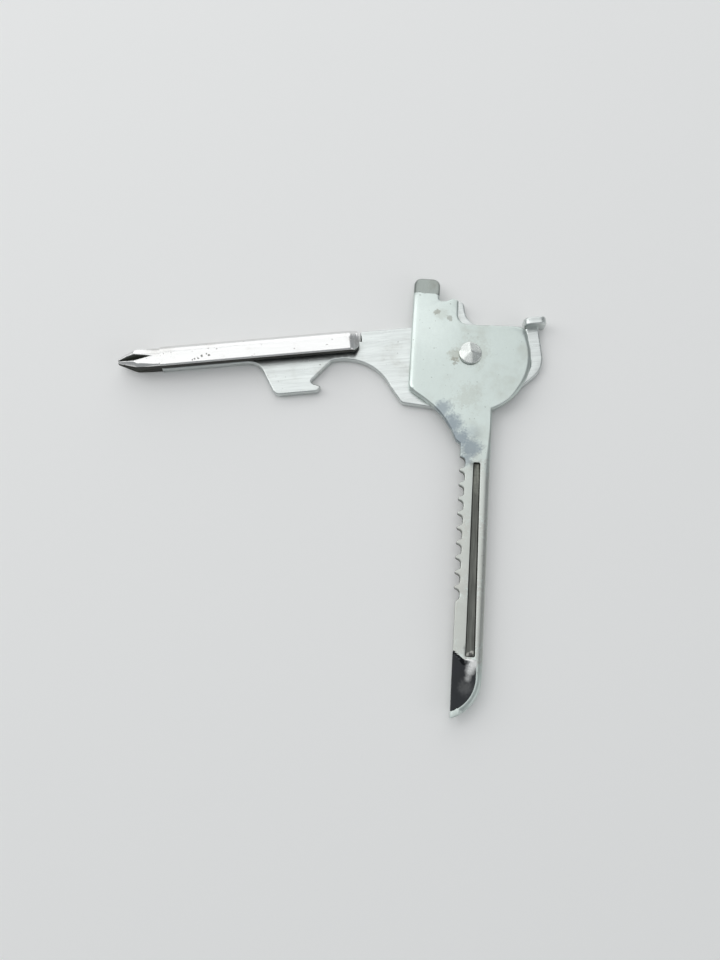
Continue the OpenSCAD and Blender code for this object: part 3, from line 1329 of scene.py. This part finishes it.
class Paint:
    """A material's node tree, with one method that adds any node."""

    def __init__(self, name: str) -> None:
        """Start a material with a metal shader.

        Args:
            name: Name of the material.
        """
        self.material = bpy.data.materials.new(name)
        self.material.use_nodes = True
        self.tree = self.material.node_tree
        self.shader = self.tree.nodes["Principled BSDF"]

    def node(
        self,
        kind: str,
        settings: dict[str, object] | None = None,
        inputs: dict[str | int, object] | None = None,
        output: str | int = 0,
    ) -> Wire:
        """Add a node.

        Args:
            kind: Its type.
            settings: Values of its own properties, and "stops" for a ramp.
            inputs: Values or wires of its sockets, by name or number.
            output: Which output to return.

        Returns:
            The output.
        """
        node = self.tree.nodes.new(kind)
        for key, value in (settings or {}).items():
            if key == "stops":
                ramp = node.color_ramp
                while len(ramp.elements) < len(value):
                    ramp.elements.new(0.5)
                for element, (place, colour) in zip(ramp.elements, value):
                    element.position = place
                    element.color = colour
            else:
                setattr(node, key, value)
        for key, value in (inputs or {}).items():
            if isinstance(value, Wire):
                self.tree.links.new(value.socket, node.inputs[key])
            else:
                node.inputs[key].default_value = value
        return Wire(self.tree, node.outputs[output])

    def mix(self, share: Wire | float, first: object, second: object) -> Wire:
        """Mix two colours.

        Args:
            share: Share of the second.
            first: First colour or wire.
            second: Second colour or wire.

        Returns:
            The mixed colour.
        """
        return self.node("ShaderNodeMix", {"data_type": "RGBA"}, {0: share, 6: first, 7: second}, 2)

    def feed(self, **links: Wire) -> None:
        """Link wires to the shader, with _ for a space in a socket's name."""
        for name, wire in links.items():
            self.tree.links.new(wire.socket, self.shader.inputs[name.replace("_", " ")])

    def place(self, turn: float = 0.0, stretch: tuple[float, float, float] = (1.0, 1.0, 1.0)) -> Wire:
        """Position on the piece in metres, turned about Z and stretched.

        Args:
            turn: Turn in degrees.
            stretch: Factors along the three axes, after the turn.

        Returns:
            The position.
        """
        spot = self.node("ShaderNodeTexCoord", output="Object")
        turned = self.node(
            "ShaderNodeMapping",
            {"vector_type": "POINT"},
            {"Vector": spot, "Rotation": (0.0, 0.0, math.radians(turn))},
        )
        return self.node("ShaderNodeVectorMath", {"operation": "MULTIPLY"}, {0: turned, 1: stretch})

    def grain(self, place: Wire, scale: float, detail: float = 2.0, rough: float = 0.5) -> Wire:
        """Noise from 0 to 1 at a place.

        Args:
            place: Position on the piece.
            scale: How fine it is.
            detail: Octaves that are added.
            rough: Weight of the finer octaves.

        Returns:
            The noise.
        """
        return self.node(
            "ShaderNodeTexNoise",
            {"noise_dimensions": "3D"},
            {"Vector": place, "Scale": scale, "Detail": detail, "Roughness": rough},
        )

    def ramp(
        self, value: Wire, low: float, high: float, to_low: float = 0.0, to_high: float = 1.0
    ) -> Wire:
        """Rise smoothly between two values.

        Args:
            value: Value to place on the rise.
            low: Value at which the rise starts.
            high: Value at which it ends.
            to_low: Result at low.
            to_high: Result at high.

        Returns:
            The result.
        """
        return self.node(
            "ShaderNodeMapRange",
            {"interpolation_type": "SMOOTHSTEP"},
            {"Value": value, "From Min": low, "From Max": high, "To Min": to_low, "To Max": to_high},
        )

    def bump(self, height: Wire, strength: float, distance: float) -> Wire:
        """Normal from a height.

        Args:
            height: The height, from 0 to 1.
            strength: How much of it shows.
            distance: Real height of 1, in metres.

        Returns:
            The normal.
        """
        inputs = {"Height": height, "Strength": strength, "Distance": distance}
        return self.node("ShaderNodeBump", {}, inputs)


@dataclass(frozen=True)
class Mark:
    """A stain, worn place, painted highlight or painted shade, with its place and reach in millimetres.

    The share is how much of its colour shows, the fade how softly it ends, and ragged how uneven
    its edge is.
    """

    place: Point
    reach: float
    colour: Colour
    share: float
    fade: float = 0.6
    ragged: float = 1.0


@dataclass(frozen=True)
class Steel:
    """Steel with fine lines along a direction, soft stains, small pits and marks."""

    name: str
    colour: Colour
    stain: Colour
    roughness: float
    turn: float = 0.0
    lines: float = 0.3
    line_tone: float = 0.06
    pits: float = 0.5
    line_stretch: tuple[float, float, float] = (1.0, 0.04, 1.0)
    marks: tuple[Mark, ...] = ()
    mark_height: float = 2.45
    relief_depth: float = 0.00003

    def _marked(self, paint: Paint, colour: Wire, place: Wire) -> Wire:
        """Add the marks to a colour.

        Args:
            paint: The material.
            colour: Colour without them.
            place: Position on the piece.

        Returns:
            The colour with them.
        """
        coarse = (paint.grain(place, 700.0, 4.0, 0.6) - 0.5) * 1.4
        ragged = coarse + (paint.grain(place, 3500.0, 2.0) - 0.5) * 1.3
        distance = {"operation": "DISTANCE"}
        for mark in self.marks:
            spot = (mark.place[0] * MM, mark.place[1] * MM, self.mark_height * MM)
            gap = paint.node("ShaderNodeVectorMath", distance, {0: place, 1: spot}, "Value")
            reach = gap * (1.0 / (mark.reach * MM)) + ragged * mark.ragged
            share = paint.ramp(reach, 1.1, 1.1 - mark.fade)
            colour = paint.mix(share * mark.share, colour, (*mark.colour, 1.0))
        return colour

    def make(self) -> bpy.types.Material:
        """Make the material.

        Returns:
            The material.
        """
        paint = Paint(self.name)
        plain = paint.place()
        drawn = paint.place(self.turn, self.line_stretch)
        fine = paint.grain(drawn, 9000.0, 3.0, 0.6)
        broad = paint.grain(drawn, 1800.0, 2.0, 0.5)
        cloud = paint.grain(plain, 220.0, 4.0, 0.6)
        specks = paint.ramp(paint.grain(plain, 2600.0, 1.0, 0.4), 0.27, 0.2)
        stained = paint.ramp(cloud, 0.52, 0.78) * 0.5
        colour = paint.mix(stained, (*self.colour, 1.0), (*self.stain, 1.0))
        colour = self._marked(paint, colour, plain)
        darker = tuple(c * 0.45 for c in self.stain)
        colour = paint.mix(specks * self.pits, colour, (*darker, 1.0))
        drawn_lines = fine * 0.5 + broad * 0.5
        tone = paint.ramp(drawn_lines, 0.3, 0.7, 1.0 - self.line_tone, 1.0 + self.line_tone)
        shade = paint.node("ShaderNodeCombineColor", {}, {0: tone, 1: tone, 2: tone})
        multiply = {"data_type": "RGBA", "blend_type": "MULTIPLY"}
        colour = paint.node("ShaderNodeMix", multiply, {0: 1.0, 6: colour, 7: shade}, 2)
        rough = self.roughness + (cloud - 0.5) * 0.16 + (broad - 0.5) * 0.12
        relief = fine * 0.6 + broad * 0.4 - specks * (2.0 * self.pits)
        paint.shader.inputs["Metallic"].default_value = 1.0
        normal = paint.bump(relief, self.lines, self.relief_depth)
        paint.feed(Base_Color=colour, Roughness=rough, Normal=normal)
        return paint.material


BLACK = (0.03, 0.03, 0.03)
SMUDGE = (0.27, 0.315, 0.345)
STAIN = (0.36, 0.36, 0.3)
RUST = (0.18, 0.16, 0.12)
WORN = (0.49, 0.495, 0.46)
# colour of the painted highlights on the ground tip
GLINT = (0.62, 0.63, 0.62)
FLECK = (0.5, 0.5, 0.46)


def key_marks() -> tuple[Mark, ...]:
    """Marks on the key leaf: a painted highlight on its left side, the worn blade, the smudge, stains and
    rust.

    Returns:
        The marks.
    """
    smudge = [
        ((-3.7, -9.0), 1.7, 0.8),
        ((-2.2, -11.3), 2.0, 0.9),
        ((-1.0, -13.4), 1.7, 0.9),
        ((0.7, -14.6), 1.9, 0.85),
        ((-0.1, -16.6), 1.3, 0.7),
    ]
    smudges = [Mark(place, reach, SMUDGE, share, 0.75, 0.7) for place, reach, share in smudge]
    smudges.insert(3, Mark((0.9, -12.4), 1.8, SMUDGE, 0.35, 1.0, 0.5))
    return (
        # painted highlight: the head's left side made paler, as the light it reflects
        Mark((-7.5, 5.0), 7.5, (0.76, 0.83, 0.8), 0.6, 1.1, 0.3),
        Mark((0.5, -22.0), 7.0, WORN, 0.6),
        Mark((0.5, -31.0), 7.0, WORN, 0.75),
        Mark((0.5, -40.0), 7.5, WORN, 0.8),
        *smudges,
        Mark((-2.35, -1.0), 0.5, RUST, 0.6, 0.5, 2.0),
        Mark((-2.2, -1.7), 0.4, RUST, 0.45, 0.5, 2.0),
        Mark((-2.3, -0.4), 1.2, STAIN, 0.45),
        Mark((0.3, 0.3), 2.8, STAIN, 0.25),
        Mark((0.0, -6.8), 2.6, STAIN, 0.26, 0.9, 1.5),
        Mark((-5.3, 6.4), 0.45, RUST, 0.5, 0.5, 2.2),
        Mark((-3.4, 5.6), 0.35, RUST, 0.45, 0.5, 2.2),
        Mark((-4.7, 6.1), 1.2, STAIN, 0.25),
    )


def flange_marks() -> tuple[Mark, ...]:
    """Pits on the driver leaf's flange.

    Returns:
        The marks.
    """
    places = [(-41.5, -4.1), (-41.2, -3.9), (-40.7, -3.8), (-39.5, -3.0)]
    places += [(-39.1, -3.2), (-40.2, -3.4), (-13.4, 0.6)]
    return tuple(Mark(spot, 0.13 + 0.05 * (k % 3), (0.1, 0.1, 0.09), 0.85) for k, spot in enumerate(places))


def tip_marks() -> tuple[Mark, ...]:
    """Painted highlights and a painted dark reflection on the key leaf's ground tip.

    Returns:
        The marks.
    """
    return (
        # painted highlight at the groove's end, painted glints below it, and a painted dark reflection near
        # the edge
        Mark((1.75, -45.2), 0.8, (0.9, 0.9, 0.88), 0.9),
        Mark((2.35, -45.9), 1.3, GLINT, 0.8, 0.8, 0.3),
        Mark((1.95, -47.0), 0.85, GLINT, 0.6, 0.9, 0.3),
        Mark((1.7, -48.0), 0.6, GLINT, 0.35, 1.0, 0.3),
        Mark((1.4, -49.3), 1.4, GLINT, 0.07, 1.1, 0.8),
        Mark((-0.2, -46.8), 0.9, (0.03, 0.03, 0.035), 0.6, 1.0),
    )


def groove_marks() -> tuple[Mark, ...]:
    """Light and dark places in the blade's groove.

    Returns:
        The marks.
    """
    return (
        Mark((1.8, -19.0), 2.4, (0.34, 0.35, 0.3), 0.45, 1.1),
        Mark((1.6, -44.7), 0.35, FLECK, 0.8),
        Mark((2.1, -44.4), 0.3, FLECK, 0.8),
        Mark((1.9, -44.8), 0.4, BLACK, 0.8),
    )


def steels(shut_angle: float) -> tuple[Steel, ...]:
    """List the tool's finishes.

    Args:
        shut_angle: Turn from the open pose to the shut one, which the driver leaf's lines follow.

    Returns:
        The finishes.
    """
    satin = Steel(
        "satin_steel",
        (0.6, 0.665, 0.635),
        (0.46, 0.48, 0.43),
        0.33,
        lines=0.22,
        line_tone=0.03,
        line_stretch=(1.0, 0.5, 1.0),
        marks=key_marks(),
    )
    brushed = Steel(
        "brushed_steel",
        (0.68, 0.715, 0.7),
        (0.44, 0.44, 0.4),
        0.3,
        turn=shut_angle,
        lines=0.4,
        line_tone=0.13,
        pits=0.8,
    )
    # same sheet as the brushed plate: its lower roughness is the rolled finish, its paler colour is painted
    # light
    rolled = Steel(
        "rolled_steel_painted_bright",
        (0.84, 0.84, 0.83),
        (0.6, 0.58, 0.54),
        0.24,
        turn=shut_angle,
        lines=0.25,
        line_tone=0.03,
        pits=0.9,
        marks=flange_marks(),
        mark_height=3.2,
    )
    tab_ground = Steel(
        "tab_ground_steel", (0.31, 0.34, 0.32), (0.24, 0.24, 0.21), 0.3, lines=0.2, pits=0.3
    )
    # near-black colour that paints shade in the channel, inside the bend, on the tip's side and at the
    # rivet's foot
    gap_shade = Steel("gap_painted_shade", (0.05, 0.05, 0.045), (0.03, 0.03, 0.025), 0.5, pits=0.2)
    # near-black colour that paints the dark reflection of the ground tip; its marks paint glints on it
    polished = Steel(
        "polished_steel_painted_reflection",
        (0.03, 0.032, 0.034),
        (0.02, 0.02, 0.02),
        0.14,
        lines=0.1,
        pits=0.2,
        marks=tip_marks(),
        mark_height=2.2,
    )
    # dark colour that paints shade in the groove and the gullets
    scale = Steel(
        "recess_painted_shade",
        (0.15, 0.155, 0.14),
        (0.08, 0.08, 0.065),
        0.45,
        line_tone=0.4,
        pits=0.7,
        line_stretch=(0.6, 0.03, 1.0),
        marks=groove_marks(),
        mark_height=2.0,
    )
    # ground steel of the flutes, darkened to paint the shade that lies in them
    flute = Steel("flute_painted_shade", (0.12, 0.125, 0.11), (0.08, 0.075, 0.06), 0.3, turn=shut_angle)
    bright = Steel("bright_rivet", (0.8, 0.83, 0.8), (0.6, 0.6, 0.56), 0.24, lines=0.2, pits=0.2)
    return satin, brushed, rolled, tab_ground, gap_shade, polished, scale, flute, bright


@dataclass(frozen=True)
class Lamp:
    """A soft lamp, with its place and size in metres, and a glow of 1 for a face that looks white."""

    name: str
    place: tuple[float, float, float]
    size: tuple[float, float]
    glow: float

    def hang(self) -> None:
        """Hang the lamp, looking at the tool."""
        light = bpy.data.lights.new(self.name, "AREA")
        light.shape = "RECTANGLE"
        light.size, light.size_y = self.size
        light.energy = self.glow * math.pi * self.size[0] * self.size[1]
        lamp = bpy.data.objects.new(self.name, light)
        lamp.location = self.place
        aim = Vector(TOOL_MIDDLE) - Vector(self.place)
        lamp.rotation_euler = aim.to_track_quat("-Z", "Y").to_euler()
        bpy.context.scene.collection.objects.link(lamp)


@dataclass
class Studio:
    """Floor, lamps, world and camera. The camera's place is in millimetres."""

    focal: float = 37.5
    camera_place: tuple[float, float, float] = (-12.8, -55.9, 144.0)
    tilt: float = 14.0
    swing: float = 3.94
    floor_colour: Colour = (0.93, 0.93, 0.92)
    floor_half: float = 4.0
    floor_z: float = -0.0001
    sky_colour: Colour = (0.93, 0.97, 1.0)
    sky_strength: float = 0.34
    lamps: tuple[Lamp, ...] = (
        Lamp("top_lamp", (-0.1, 0.11, 0.6), (0.64, 0.6), 0.86),
        Lamp("far_lamp", (-0.05, 0.55, 0.28), (0.8, 0.5), 0.95),
        Lamp("left_lamp", (-0.46, 0.12, 0.34), (0.36, 0.5), 1.3),
        Lamp("right_lamp", (0.46, -0.2, 0.24), (0.36, 0.3), 0.6),
    )

    def floor(self) -> None:
        """Lay the floor under the tool."""
        paint = Paint("pale_floor")
        paint.shader.inputs["Base Color"].default_value = (*self.floor_colour, 1.0)
        paint.shader.inputs["Roughness"].default_value = 0.9
        mesh = bpy.data.meshes.new("floor")
        signs = ((-1, -1), (1, -1), (1, 1), (-1, 1))
        corners = [(x * self.floor_half, y * self.floor_half, self.floor_z) for x, y in signs]
        mesh.from_pydata(corners, [], [(0, 1, 2, 3)])
        mesh.materials.append(paint.material)
        piece = bpy.data.objects.new("floor", mesh)
        bpy.context.scene.collection.objects.link(piece)

    def light(self) -> None:
        """Set the world and the lamps."""
        world = bpy.data.worlds.new("studio")
        world.use_nodes = True
        background = world.node_tree.nodes["Background"]
        background.inputs["Color"].default_value = (*self.sky_colour, 1.0)
        background.inputs["Strength"].default_value = self.sky_strength
        bpy.context.scene.world = world
        for lamp in self.lamps:
            lamp.hang()

    def camera(self) -> None:
        """Set the camera over the tool."""
        data = bpy.data.cameras.new("camera")
        data.lens = self.focal
        data.sensor_width = 36.0
        data.clip_start = 0.001
        camera = bpy.data.objects.new("camera", data)
        turn = Matrix.Rotation(math.radians(self.swing), 4, "Z")
        lean = Matrix.Rotation(math.radians(self.tilt), 4, "X")
        camera.matrix_world = Matrix.Translation(Vector(self.camera_place) * MM) @ turn @ lean
        bpy.context.scene.collection.objects.link(camera)
        bpy.context.scene.camera = camera


def main() -> None:
    """Build the tool, its finishes and its studio."""
    logging.basicConfig(level=logging.INFO, format="%(name)s: %(message)s")
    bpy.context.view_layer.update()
    scene = bpy.context.scene
    scene.view_settings.view_transform = "Standard"
    studio = Studio()
    studio.camera()
    studio.light()
    studio.floor()

    shut_angle = -frame["joints"][0]["range_deg"][0]
    finishes = {steel.name: steel.make() for steel in steels(shut_angle)}

    low, high = (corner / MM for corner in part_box("key_leaf"))
    key_order = ("satin_steel", "polished_steel_painted_reflection", "recess_painted_shade", "tab_ground_steel")
    key = KeyLeaf(low, high).build([finishes[name] for name in key_order])
    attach(key, "key")
    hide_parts("key_leaf")
    log.info("key leaf: %d faces", len(key.data.polygons))

    turn_back = Matrix.Rotation(math.radians(shut_angle), 3, "Z")
    shut = [turn_back @ v.co / MM for v in frame["nodes"]["driver_leaf"].data.vertices]
    driver_order = ("brushed_steel", "rolled_steel_painted_bright", "flute_painted_shade", "gap_painted_shade")
    driver = DriverLeaf(
        thickness=low.z - LEAF_GAP,
        height=max(v.z for v in shut),
        shut_angle=shut_angle,
        tip_y=min(v.y for v in shut),
        head_radius=high.x,
    ).build([finishes[name] for name in driver_order])
    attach(driver, "driver")
    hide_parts("driver_leaf")
    log.info("driver leaf: %d faces", len(driver.data.polygons))

    rivet_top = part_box("pivot_rivet")[1].z / MM
    rivet_order = ("bright_rivet", "gap_painted_shade")
    rivet = Rivet(high.z + RIVET_GAP, rivet_top).build([finishes[name] for name in rivet_order])
    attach(rivet, "driver")
    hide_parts("pivot_rivet")
    log.info("rivet: %d faces", len(rivet.data.polygons))


if __name__ == "__main__":
    main()
